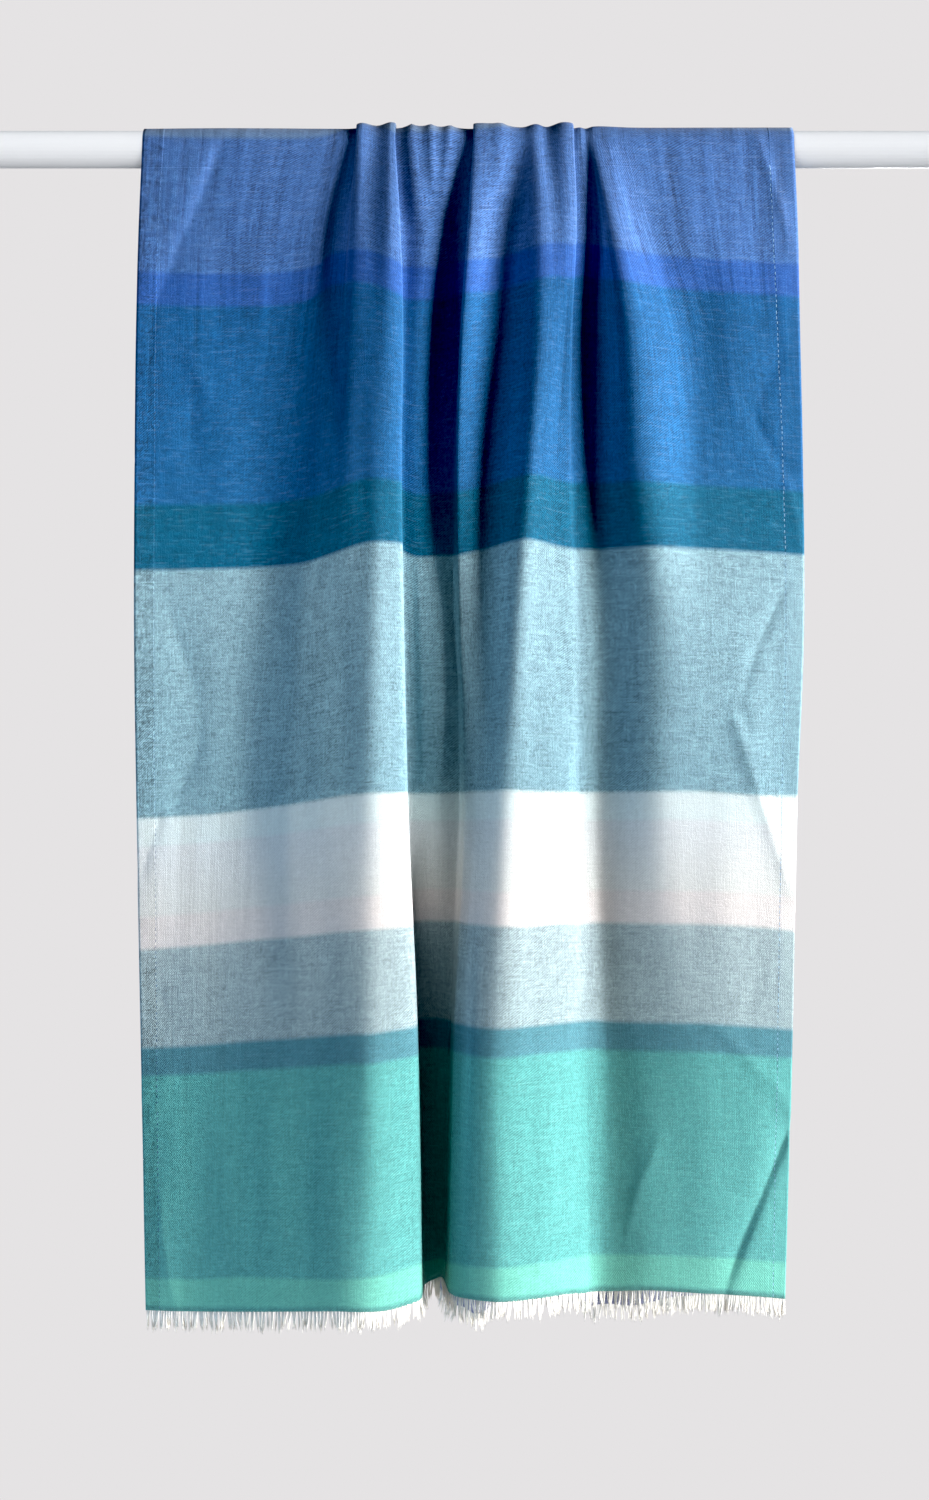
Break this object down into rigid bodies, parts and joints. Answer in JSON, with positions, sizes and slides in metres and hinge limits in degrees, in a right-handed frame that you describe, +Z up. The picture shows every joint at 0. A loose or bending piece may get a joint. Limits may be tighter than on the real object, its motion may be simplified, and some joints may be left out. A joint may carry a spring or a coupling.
{
  "type": "striped stole hung over a clothes rail",
  "caption": "Long woven stole in blue, green and white weft bands, folded over a round rail with gathered pleats and fringed ends.",
  "frame": {"origin": "the centre of the rail, half way along it", "axes": "+X along the rail to the viewer's right, -Y towards the viewer in front of the stole, +Z up"},
  "size_m": [0.86, 0.1241, 1.0219],
  "materials": {
    "front_cloth": "soft twill weave with weft bands",
    "turn_cloth": "soft twill weave",
    "back_cloth": "soft twill weave with weft bands",
    "front_fringe": "loose warp ends",
    "back_fringe": "loose warp ends",
    "rail": "smooth white satin paint"
  },
  "bodies": {
    "root": {"front_fall": "front_cloth", "rail_turn": "turn_cloth", "back_fall": "back_cloth", "front_fringe": "front_fringe", "back_fringe": "back_fringe", "rail": "rail"}
  },
  "joints": []
}
